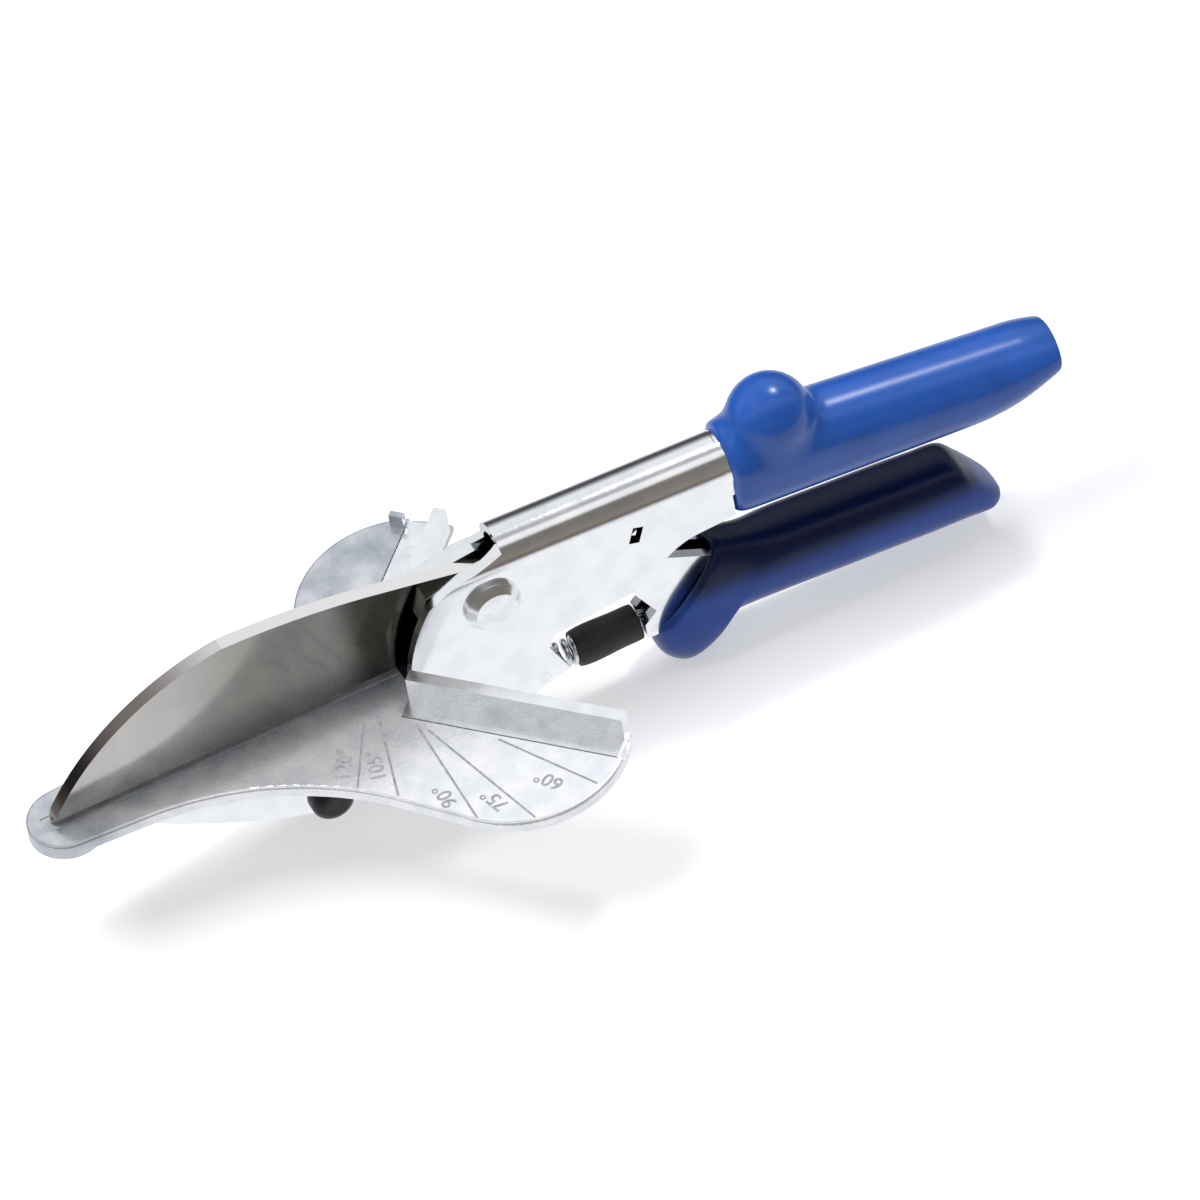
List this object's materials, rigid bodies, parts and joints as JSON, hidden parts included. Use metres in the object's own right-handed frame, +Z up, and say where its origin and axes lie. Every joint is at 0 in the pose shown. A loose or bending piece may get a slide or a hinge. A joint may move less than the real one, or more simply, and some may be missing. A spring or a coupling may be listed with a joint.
{
  "type": "mitre guillotine",
  "caption": "Hand-held mitre shears: long anvil blade over a winged angle table with stop fences, two vinyl-dipped handles and a sleeved return spring.",
  "frame": {"origin": "on the mitre table's top face, in the blade's plane, at the corner of the fences where the work is cut", "axes": "+X along the blade towards the handles, +Z up out of the table's face, so +Y points to the far wing"},
  "size_m": [0.2143, 0.0824, 0.0605],
  "materials": {
    "frame_steel": "bright zinc or nickel plate",
    "lever_steel": "bright zinc or nickel plate",
    "table_metal": "satin die casting",
    "fence_metal": "satin plate",
    "blade_steel": "fine ground, lengthwise",
    "anvil_plastic": "smooth",
    "bolt_steel": "bright zinc plate",
    "black_steel": "black oxide",
    "bronze_bush": "plain bearing",
    "shim_plastic": "smooth",
    "spring_steel": "zinc plated wire",
    "sleeve_rubber": "matt",
    "grip_vinyl": "dipped vinyl, satin"
  },
  "bodies": {
    "frame": {"frame_channel": "frame_steel", "upper_grip": "grip_vinyl", "mitre_table": "table_metal", "anvil_insert": "anvil_plastic", "near_fence": "fence_metal", "far_fence": "fence_metal", "fence_rivets": "bolt_steel", "table_bolt": "black_steel", "table_nut": "bolt_steel", "table_dowels": "bolt_steel", "pivot_bolt": "bolt_steel", "pivot_washer": "bolt_steel", "pivot_nut": "bolt_steel", "frame_spring_pin": "bolt_steel"},
    "lever": {"lower_lever": "lever_steel", "lower_grip": "grip_vinyl", "blade": "blade_steel", "blade_rivets": "bolt_steel", "pivot_bush": "bronze_bush", "pivot_shims": "shim_plastic", "lever_spring_pin": "bolt_steel"},
    "spring": {"return_spring": "spring_steel", "spring_sleeve": "sleeve_rubber"}
  },
  "joints": [
    {"name": "lever_pivot", "type": "hinge", "parent": "frame", "child": "lever", "pos_m": [0.0305, 0, 0.0125], "axis": [0, 1, 0], "range_deg": [0, 22], "deforming": ["return_spring", "spring_sleeve"]},
    {"name": "spring_swing", "type": "hinge", "parent": "frame", "child": "spring", "pos_m": [0.038, 0, -0.0136], "axis": [0, 1, 0], "range_deg": [0, 43], "deforming": ["return_spring", "spring_sleeve"]}
  ],
  "couplings": [
    {"joint": "spring_swing", "follows": "lever_pivot", "ratio": 1.947}
  ]
}
